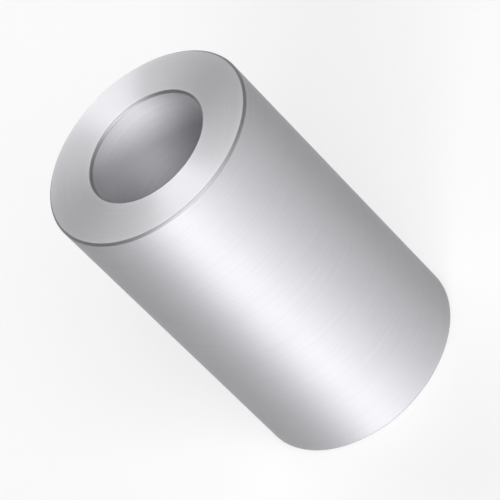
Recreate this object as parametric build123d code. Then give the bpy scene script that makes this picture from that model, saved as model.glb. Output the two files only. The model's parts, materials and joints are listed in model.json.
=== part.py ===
from build123d import *
import os

# Spacer sleeve: a plain round spacer, turned in one piece from aluminium bar.
# A screw passes freely through the bore. Tightened, it clamps the two end faces between the parts
# that the sleeve holds apart, so the ends are flat and square to the bore.
#
# Units are millimetres. The origin is the centre of the lower end face, and +Z runs up the bore.

# Driving dimensions
OUTSIDE_DIAMETER = 6.35  # 1/4 in bar
BORE_DIAMETER = 3.556  # 0.140 in, clear of a No. 6 (3.505 mm) screw
LENGTH = 10.32  # 13/32 in, from end face to end face
OUTSIDE_EDGE_BREAK = 0.06  # leg of the 45 degree chamfer round both outside edges
BORE_EDGE_BREAK = 0.06  # leg of the 45 degree chamfer round both mouths of the bore


def wall_section():
    """One wall of the sleeve, cut along the axis: an upright rectangle with its four corners broken."""
    bore_radius = BORE_DIAMETER / 2
    wall = OUTSIDE_DIAMETER / 2 - bore_radius
    with BuildSketch(Plane.XZ) as section:
        with Locations((bore_radius, 0)):
            Rectangle(wall, LENGTH, align=(Align.MIN, Align.MIN))
        chamfer(section.vertices().group_by(Axis.X)[-1], OUTSIDE_EDGE_BREAK)
        chamfer(section.vertices().group_by(Axis.X)[0], BORE_EDGE_BREAK)
    return section.sketch


def sleeve():
    """The whole part: its wall turned round the bore's axis."""
    with BuildPart() as turned:
        revolve(wall_section(), axis=Axis.Z)
    turned.part.label = "sleeve"
    return turned.part


os.makedirs("parts", exist_ok=True)
export_step(sleeve(), "parts/sleeve.step")
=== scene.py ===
import itertools
import json
import math
import random

import bpy
from mathutils import Matrix, Vector


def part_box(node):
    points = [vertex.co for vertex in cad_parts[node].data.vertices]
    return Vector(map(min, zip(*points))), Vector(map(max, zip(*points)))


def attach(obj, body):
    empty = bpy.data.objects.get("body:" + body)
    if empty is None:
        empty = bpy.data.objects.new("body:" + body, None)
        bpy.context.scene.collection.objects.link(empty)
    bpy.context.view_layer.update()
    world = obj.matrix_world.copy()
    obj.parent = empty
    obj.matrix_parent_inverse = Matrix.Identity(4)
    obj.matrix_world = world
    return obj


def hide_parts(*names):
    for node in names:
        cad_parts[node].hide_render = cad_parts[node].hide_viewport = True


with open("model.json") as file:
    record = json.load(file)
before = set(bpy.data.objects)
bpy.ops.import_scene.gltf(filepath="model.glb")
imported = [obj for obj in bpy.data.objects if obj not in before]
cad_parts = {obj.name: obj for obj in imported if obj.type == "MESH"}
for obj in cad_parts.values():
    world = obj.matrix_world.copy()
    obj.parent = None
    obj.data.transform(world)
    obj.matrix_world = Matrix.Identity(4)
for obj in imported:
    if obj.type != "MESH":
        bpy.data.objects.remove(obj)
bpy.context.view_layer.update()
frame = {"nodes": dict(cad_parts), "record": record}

# Spacer sleeve: a plain round spacer, turned in one piece from aluminium bar, standing on end.
# Its looks are one finely turned mesh that stands for the CAD node, on a pale table under soft lamps.
# Lengths are in metres. The origin is the centre of the lower end face, and +Z runs up the bore.

MM = 0.001
MICRON = 1e-6
NODE = "sleeve"
BODY = "root"

# The sleeve's sizes, read from the frame

BOX_LOW, BOX_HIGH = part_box(NODE)
BOTTOM = BOX_LOW.z
TOP = BOX_HIGH.z
OUTSIDE_RADIUS = (BOX_HIGH.x - BOX_LOW.x) / 2


def bore_radius():
    """The radius of the record's bore mount."""
    bore = next(mount for mount in frame["record"]["mounts"] if mount["name"] == "bore")
    return bore["dims"]["r_mm"] * MM


def end_face_radii():
    """The inner and outer radius of the flat of the upper end, which lies between two edge breaks."""
    vertices = frame["nodes"][NODE].data.vertices
    radii = [v.co.xy.length for v in vertices if TOP - v.co.z < MICRON]
    return min(radii), max(radii)


BORE_RADIUS = bore_radius()
FACE_INNER, FACE_OUTER = end_face_radii()
OUTSIDE_BREAK = OUTSIDE_RADIUS - FACE_OUTER
BORE_BREAK = FACE_INNER - BORE_RADIUS

# Tool marks that are part of the mesh

CORNER_ROUND = 0.012 * MM  # how far the worn rounding reaches each side of every corner
CORNER_STEPS = 3
FACING_FEED = 0.09 * MM  # step of the facing tool for each turn
FACING_DEPTH = (0.8 * MICRON, 1.6 * MICRON)  # depth of one mark, at least and at most
FACING_SEED = 7  # of the marks' random depths
FACING_STEPS = 4  # rings of vertices for each mark
WALL_RINGS = 24  # rings of vertices up the outer wall
BORE_RINGS = 24  # and down the bore
SEGMENTS = 256  # steps round the axis
UNROLLED = "OFBake"  # name of the map that unrolls the mesh

# Surfaces, numbered as the mesh's material slots
WALL, FACE, EDGE, BORE = range(4)


# Shape

# Every corner of the turned section as (radius, height), and the surface that starts there.
# They go up the outer wall and back down the bore, so the metal is always on the left.
CORNERS = [
    (OUTSIDE_RADIUS, BOTTOM + OUTSIDE_BREAK, WALL),
    (OUTSIDE_RADIUS, TOP - OUTSIDE_BREAK, EDGE),
    (FACE_OUTER, TOP, FACE),
    (FACE_INNER, TOP, EDGE),
    (BORE_RADIUS, TOP - BORE_BREAK, BORE),
    (BORE_RADIUS, BOTTOM + BORE_BREAK, EDGE),
    (FACE_INNER, BOTTOM, FACE),
    (FACE_OUTER, BOTTOM, EDGE),
]


def rounded(before, corner, after):
    """A worn corner: a short curve from the stretch before it to the stretch after it."""
    start = corner + (before - corner).normalized() * CORNER_ROUND
    end = corner + (after - corner).normalized() * CORNER_ROUND
    points = []
    for step in range(CORNER_STEPS + 1):
        share = step / CORNER_STEPS
        points.append(start.lerp(corner, share).lerp(corner.lerp(end, share), share))
    return points


def straight(start, end, rings):
    """Points strictly between start and end."""
    return [start.lerp(end, step / rings) for step in range(1, rings)]


def facing_marks(start, end, chance):
    """Points strictly between start and end, in the shallow scallops that the facing tool has cut."""
    way = end - start
    inwards = Vector((-way.y, way.x)).normalized()
    marks = round(way.length / FACING_FEED)
    points = []
    for mark in range(marks):
        depth = chance.uniform(*FACING_DEPTH)
        for step in range(FACING_STEPS):
            share = step / FACING_STEPS
            scallop = 4 * share * (1 - share)  # from 0 at either side of the mark to 1 in its middle
            points.append(start.lerp(end, (mark + share) / marks) + inwards * depth * scallop)
    return points[1:]


def surface_points(surface, start, end, chance):
    """Points strictly between the start and the end of a surface."""
    if surface == WALL:
        return straight(start, end, WALL_RINGS)
    if surface == BORE:
        return straight(start, end, BORE_RINGS)
    if surface == FACE:
        return facing_marks(start, end, chance)
    return []


def sleeve_section():
    """The turned section as (radius, height, surface), where the surface is that of the stretch after it."""
    chance = random.Random(FACING_SEED)
    corners = [Vector((radius, height)) for radius, height, _ in CORNERS]
    befores = corners[-1:] + corners[:-1]
    afters = corners[1:] + corners[:1]
    curves = [rounded(*three) for three in zip(befores, corners, afters)]
    section = []
    for (_, _, surface), curve, following in zip(CORNERS, curves, curves[1:] + curves[:1]):
        section += [(*point, EDGE) for point in curve[:-1]]
        stretch = [curve[-1], *surface_points(surface, curve[-1], following[0], chance)]
        section += [(*point, surface) for point in stretch]
    return section


def shares_along(points):
    """How far along the line through them each point lies, from 0 to 1."""
    reached = [0.0, *itertools.accumulate(math.dist(a, b) for a, b in zip(points, points[1:]))]
    return [length / reached[-1] for length in reached]


def turned(name, section, closed, segments=SEGMENTS):
    """A mesh object made by turning (radius, height, surface) points round the Z axis.
    Its map unrolls it: U runs round the axis, and V along the section."""
    around = [2 * math.pi * step / segments for step in range(segments)]
    vertices = [(r * math.cos(a), r * math.sin(a), z) for r, z, _ in section for a in around]
    line = section + section[:1] if closed else section
    along = shares_along([(r, z) for r, z, _ in line])
    faces, surfaces, places = [], [], []
    for ring in range(len(line) - 1):
        here, above = ring * segments, (ring + 1) % len(section) * segments
        low, high = along[ring], along[ring + 1]
        for step in range(segments):
            beside = (step + 1) % segments
            faces.append((here + step, here + beside, above + beside, above + step))
            surfaces.append(section[ring][2])
            left, right = step / segments, (step + 1) / segments
            places += [left, low, right, low, right, high, left, high]
    mesh = bpy.data.meshes.new(name)
    mesh.from_pydata(vertices, [], faces)
    mesh.polygons.foreach_set("material_index", surfaces)
    mesh.polygons.foreach_set("use_smooth", [True] * len(faces))
    mesh.uv_layers.new(name=UNROLLED).uv.foreach_set("vector", places)
    mesh.update()
    made = bpy.data.objects.new(name, mesh)
    bpy.context.scene.collection.objects.link(made)
    return made


# Materials

DULL = (0.595, 0.591, 0.613)  # metal in the bottom of a tool mark
BRIGHT = (0.630, 0.626, 0.649)  # metal on its crest, or rubbed by handling
DRIFT = 2.5 * MM  # length round the sleeve over which one mark fades into the next
PATCH = 1.2 * MM  # size of the patches in which the finish varies
PATCH_ROUGHNESS = 0.012  # how far a patch changes the roughness each way
WEAR_REACH = (0.06 * MM, 0.35 * MM)  # how far in from an edge handling has rubbed it, at least and at most
WEAR_ROUGHNESS = 0.03  # how much smoother it is there
NOISE_RANGE = (0.25, 0.75)  # where nearly all of a noise's values lie
FULL_ANISOTROPY = 0.9  # a shader's two slopes are as 1 to (1 - 0.9 * its Anisotropic)
QUARTER_TURN = 0.25  # so that a highlight stretches across the marks


def new_material(name):
    """A Principled material: itself, its node tree and its shader."""
    made = bpy.data.materials.new(name)
    made.use_nodes = True
    return made, made.node_tree, made.node_tree.nodes["Principled BSDF"]


def feed(tree, socket, value):
    """Gives an input a number, a colour, or another node's output."""
    if isinstance(value, bpy.types.NodeSocket):
        tree.links.new(value, socket)
    else:
        socket.default_value = value


def calc(tree, operation, *values):
    """A Math node's output."""
    made = tree.nodes.new("ShaderNodeMath")
    made.operation = operation
    for socket, value in zip(made.inputs, values):
        feed(tree, socket, value)
    return made.outputs[0]


def rescale(tree, value, given, wanted):
    """value, which runs over the pair given, as it runs over the pair wanted. It stops at both ends."""
    made = tree.nodes.new("ShaderNodeMapRange")
    names = ("Value", "From Min", "From Max", "To Min", "To Max")
    for name, number in zip(names, (value, *given, *wanted)):
        feed(tree, made.inputs[name], number)
    return made.outputs["Result"]


def noise(tree, lengths, grains, detail):
    """Noise over three lengths, each divided by the size of its grain, from 0 to 1."""
    joined = tree.nodes.new("ShaderNodeCombineXYZ")
    for socket, length, grain in zip(joined.inputs, lengths, grains):
        feed(tree, socket, calc(tree, "DIVIDE", length, grain))
    made = tree.nodes.new("ShaderNodeTexNoise")
    made.inputs["Scale"].default_value = 1.0
    made.inputs["Detail"].default_value = detail
    feed(tree, made.inputs["Vector"], joined.outputs[0])
    return rescale(tree, made.outputs["Fac"], NOISE_RANGE, (0.0, 1.0))


def place(tree):
    """The point on the sleeve, in metres: its x, its y, its distance from the axis, and its height."""
    parts = tree.nodes.new("ShaderNodeSeparateXYZ")
    feed(tree, parts.inputs[0], tree.nodes.new("ShaderNodeTexCoord").outputs["Object"])
    x, y, z = parts.outputs
    squares = calc(tree, "ADD", calc(tree, "MULTIPLY", x, x), calc(tree, "MULTIPLY", y, y))
    return x, y, calc(tree, "SQRT", squares), z


def edge_wear(tree, across_marks, low, high, patches):
    """Wear by handling, from 1 at either edge of a surface to 0 a little way in, with a ragged limit."""
    from_low = calc(tree, "SUBTRACT", across_marks, low)
    from_high = calc(tree, "SUBTRACT", high, across_marks)
    reach = rescale(tree, patches, (0.0, 1.0), WEAR_REACH)
    inwards = calc(tree, "DIVIDE", calc(tree, "MINIMUM", from_low, from_high), reach)
    return rescale(tree, inwards, (0.0, 1.0), (1.0, 0.0))


def tint(tree, painted_tone, share):
    """The metal's colour: DULL where share is 0 and BRIGHT where it is 1, both of them scaled by a tone that
    paints shade where it is below 1 and light where it is above 1.
    """
    made = tree.nodes.new("ShaderNodeMix")
    made.data_type = "RGBA"
    made.inputs["A"].default_value = (*[painted_tone * channel for channel in DULL], 1.0)
    made.inputs["B"].default_value = (*[painted_tone * channel for channel in BRIGHT], 1.0)
    feed(tree, made.inputs["Factor"], share)
    return made.outputs["Result"]


def uneven_roughness(tree, middle, patches, wear):
    """Roughness that differs from patch to patch and is less where handling has rubbed the metal."""
    uneven = rescale(tree, patches, (0.0, 1.0), (middle - PATCH_ROUGHNESS, middle + PATCH_ROUGHNESS))
    return calc(tree, "SUBTRACT", uneven, calc(tree, "MULTIPLY", wear, WEAR_ROUGHNESS))


def bump(tree, height, depth):
    """The surface's direction, tilted by marks of this depth."""
    made = tree.nodes.new("ShaderNodeBump")
    made.inputs["Distance"].default_value = depth
    feed(tree, made.inputs["Height"], height)
    return made.outputs["Normal"]


def round_axis(tree):
    """The way that the marks run, which is round the sleeve's axis."""
    made = tree.nodes.new("ShaderNodeTangent")
    made.direction_type = "RADIAL"
    made.axis = "Z"
    return made.outputs["Tangent"]


def aluminium(name, across, along, pitch, depth, end_face=False, painted_tone=1.0):
    """Aluminium with tool marks round the axis.
    across and along are how widely it scatters light across the marks and along them, as microfacet slopes.
    pitch and depth are a mark's own size. Marks follow one another up a wall, or outwards on an end face.
    The tone argument scales the metal's colour: below 1 it is painted shade, above 1 it is painted light."""
    made, tree, shader = new_material(name)
    x, y, radius, height = place(tree)
    across_marks, low, high = (radius, FACE_INNER, FACE_OUTER) if end_face else (height, BOTTOM, TOP)
    marks = noise(tree, (x, y, across_marks), (DRIFT, DRIFT, pitch), detail=2.0)
    patches = noise(tree, (x, y, height), (PATCH, PATCH, PATCH), detail=1.0)
    wear = edge_wear(tree, across_marks, low, high, patches)
    middle = (across * along) ** 0.25  # roughness squared is the geometric mean of the two slopes

    finish = {
        "Metallic": 1.0,
        "Base Color": tint(tree, painted_tone, calc(tree, "MAXIMUM", marks, wear)),
        "Roughness": uneven_roughness(tree, middle, patches, wear),
        "Anisotropic": (1 - along / across) / FULL_ANISOTROPY,
        "Anisotropic Rotation": QUARTER_TURN,
        "Tangent": round_axis(tree),
        "Normal": bump(tree, marks, depth),
    }
    for socket_name, value in finish.items():
        feed(tree, shader.inputs[socket_name], value)
    return made


MATERIALS = {
    WALL: aluminium("turned_wall", across=0.88, along=0.37, pitch=0.035 * MM, depth=0.6 * MICRON),
    FACE: aluminium("faced_end", across=0.50, along=0.135, pitch=0.030 * MM, depth=0.4 * MICRON,
                    end_face=True),
    # Painted shade: the broken edges' colour is darkened to 0.65 of the metal's, so that a dark line runs
    # along every edge
    EDGE: aluminium("broken_edge_painted_dark", across=0.50, along=0.30, pitch=0.020 * MM, depth=0.2 * MICRON, painted_tone=0.65),
    # The drill leaves the bore coarser than the rest. Its colour is raised to 1.08 of the metal's: painted
    # light that lifts the shade inside the bore
    BORE: aluminium("drilled_bore_painted_light", across=0.95, along=0.55, pitch=0.050 * MM, depth=1.0 * MICRON, painted_tone=1.08),
}

sleeve = turned("sleeve_turned", sleeve_section(), closed=True)
for surface in sorted(MATERIALS):
    sleeve.data.materials.append(MATERIALS[surface])
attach(sleeve, BODY)
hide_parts(NODE)

# Table: flat round the sleeve, and rising from there to a low rim that hides the horizon

TABLE_FLAT = 0.05
TABLE_RADIUS = 0.45
TABLE_RIM = 0.06
TABLE_STEPS = 16  # rings of vertices from the flat to the rim
TABLE_SEGMENTS = 96  # steps round the axis
TABLE_COLOUR = (0.87, 0.87, 0.87)
TABLE_WHITENESS = 0.60  # share of plain white in what is seen of it


def table_section():
    """From the rim down to the middle, so that the table faces up. All of it is surface 0."""
    section = []
    for step in range(TABLE_STEPS, -1, -1):
        share = step / TABLE_STEPS
        radius = TABLE_FLAT + (TABLE_RADIUS - TABLE_FLAT) * share
        section.append((radius, BOTTOM + TABLE_RIM * share * share, 0))
    return section + [(0.0, BOTTOM, 0)]


def pale_table():
    """A matt white. The camera and the metal see it mixed with plain white, so that its shadows are faint."""
    made, tree, shader = new_material("pale_table")
    shader.inputs["Base Color"].default_value = (*TABLE_COLOUR, 1.0)
    shader.inputs["Roughness"].default_value = 1.0
    shader.inputs["Specular IOR Level"].default_value = 0.0
    path = tree.nodes.new("ShaderNodeLightPath").outputs
    seen = calc(tree, "MAXIMUM", path["Is Camera Ray"], path["Is Glossy Ray"])
    seen = calc(tree, "MAXIMUM", seen, path["Is Transmission Ray"])
    white = tree.nodes.new("ShaderNodeEmission")
    mixed = tree.nodes.new("ShaderNodeMixShader")
    feed(tree, mixed.inputs["Fac"], calc(tree, "MULTIPLY", seen, TABLE_WHITENESS))
    tree.links.new(shader.outputs["BSDF"], mixed.inputs[1])
    tree.links.new(white.outputs["Emission"], mixed.inputs[2])
    tree.links.new(mixed.outputs["Shader"], tree.nodes["Material Output"].inputs["Surface"])
    return made


table = turned("table", table_section(), closed=False, segments=TABLE_SEGMENTS)
table.data.materials.append(pale_table())


# Light

def dim_world(strength):
    """An even grey all round, for what no lamp reaches."""
    world = bpy.data.worlds.new("studio")
    world.use_nodes = True
    background = world.node_tree.nodes["Background"]
    background.inputs["Color"].default_value = (1.0, 1.0, 1.0, 1.0)
    background.inputs["Strength"].default_value = strength
    bpy.context.scene.world = world


def direction(azimuth, elevation):
    """The way from the sleeve to a place round it. Azimuth 0 is the camera's side, and 90 is +X."""
    a, e = math.radians(azimuth), math.radians(elevation)
    return Vector((math.sin(a) * math.cos(e), -math.cos(a) * math.cos(e), math.sin(e)))


def soft_lamp(name, azimuth, elevation, width, strength):
    """A broad lamp far away. width is how many degrees of the sky it is across."""
    lamp = bpy.data.lights.new(name, "SUN")
    lamp.energy = strength
    lamp.angle = math.radians(width)
    made = bpy.data.objects.new(name, lamp)
    made.rotation_mode = "QUATERNION"
    made.rotation_quaternion = direction(azimuth, elevation).to_track_quat("Z", "Y")
    bpy.context.scene.collection.objects.link(made)


dim_world(0.05)
soft_lamp("key", azimuth=-29, elevation=14, width=22, strength=2.8)
soft_lamp("front", azimuth=9, elevation=46, width=40, strength=2.2)
soft_lamp("side", azimuth=60, elevation=15, width=24, strength=0.37)
soft_lamp("back", azimuth=180, elevation=53, width=34, strength=0.86)

# Camera: from -Y and above, leaning so that the sleeve's top points to the upper left

CAMERA_ELEVATION = 38.34
CAMERA_LEAN = -45.04
CAMERA_DISTANCE = 35 * OUTSIDE_RADIUS
CAMERA_LENS = 292.6  # in millimetres, as the sensor is
CAMERA_SENSOR = 36
CAMERA_NEAREST, CAMERA_FURTHEST = 0.01, 10
AIM = Vector((-0.096 * MM, 0.100 * MM))  # from the sleeve's middle, to the right and up in the picture


def catalogue_camera():
    """A long lens, so that the sleeve's sides look nearly parallel."""
    lens = bpy.data.cameras.new("camera")
    lens.lens = CAMERA_LENS
    lens.sensor_width = CAMERA_SENSOR
    lens.clip_start = CAMERA_NEAREST
    lens.clip_end = CAMERA_FURTHEST
    back = direction(0, CAMERA_ELEVATION)
    level = Vector((1, 0, 0))
    right = Matrix.Rotation(math.radians(CAMERA_LEAN), 3, back) @ level
    up = back.cross(right)
    aim = Vector((0, 0, (BOTTOM + TOP) / 2)) + right * AIM.x + up * AIM.y
    made = bpy.data.objects.new("camera", lens)
    turn = Matrix((right, up, back)).transposed().to_4x4()
    made.matrix_world = Matrix.Translation(aim + back * CAMERA_DISTANCE) @ turn
    bpy.context.scene.collection.objects.link(made)
    bpy.context.scene.camera = made


catalogue_camera()
bpy.context.scene.view_settings.view_transform = "Standard"

bpy.context.view_layer.update()
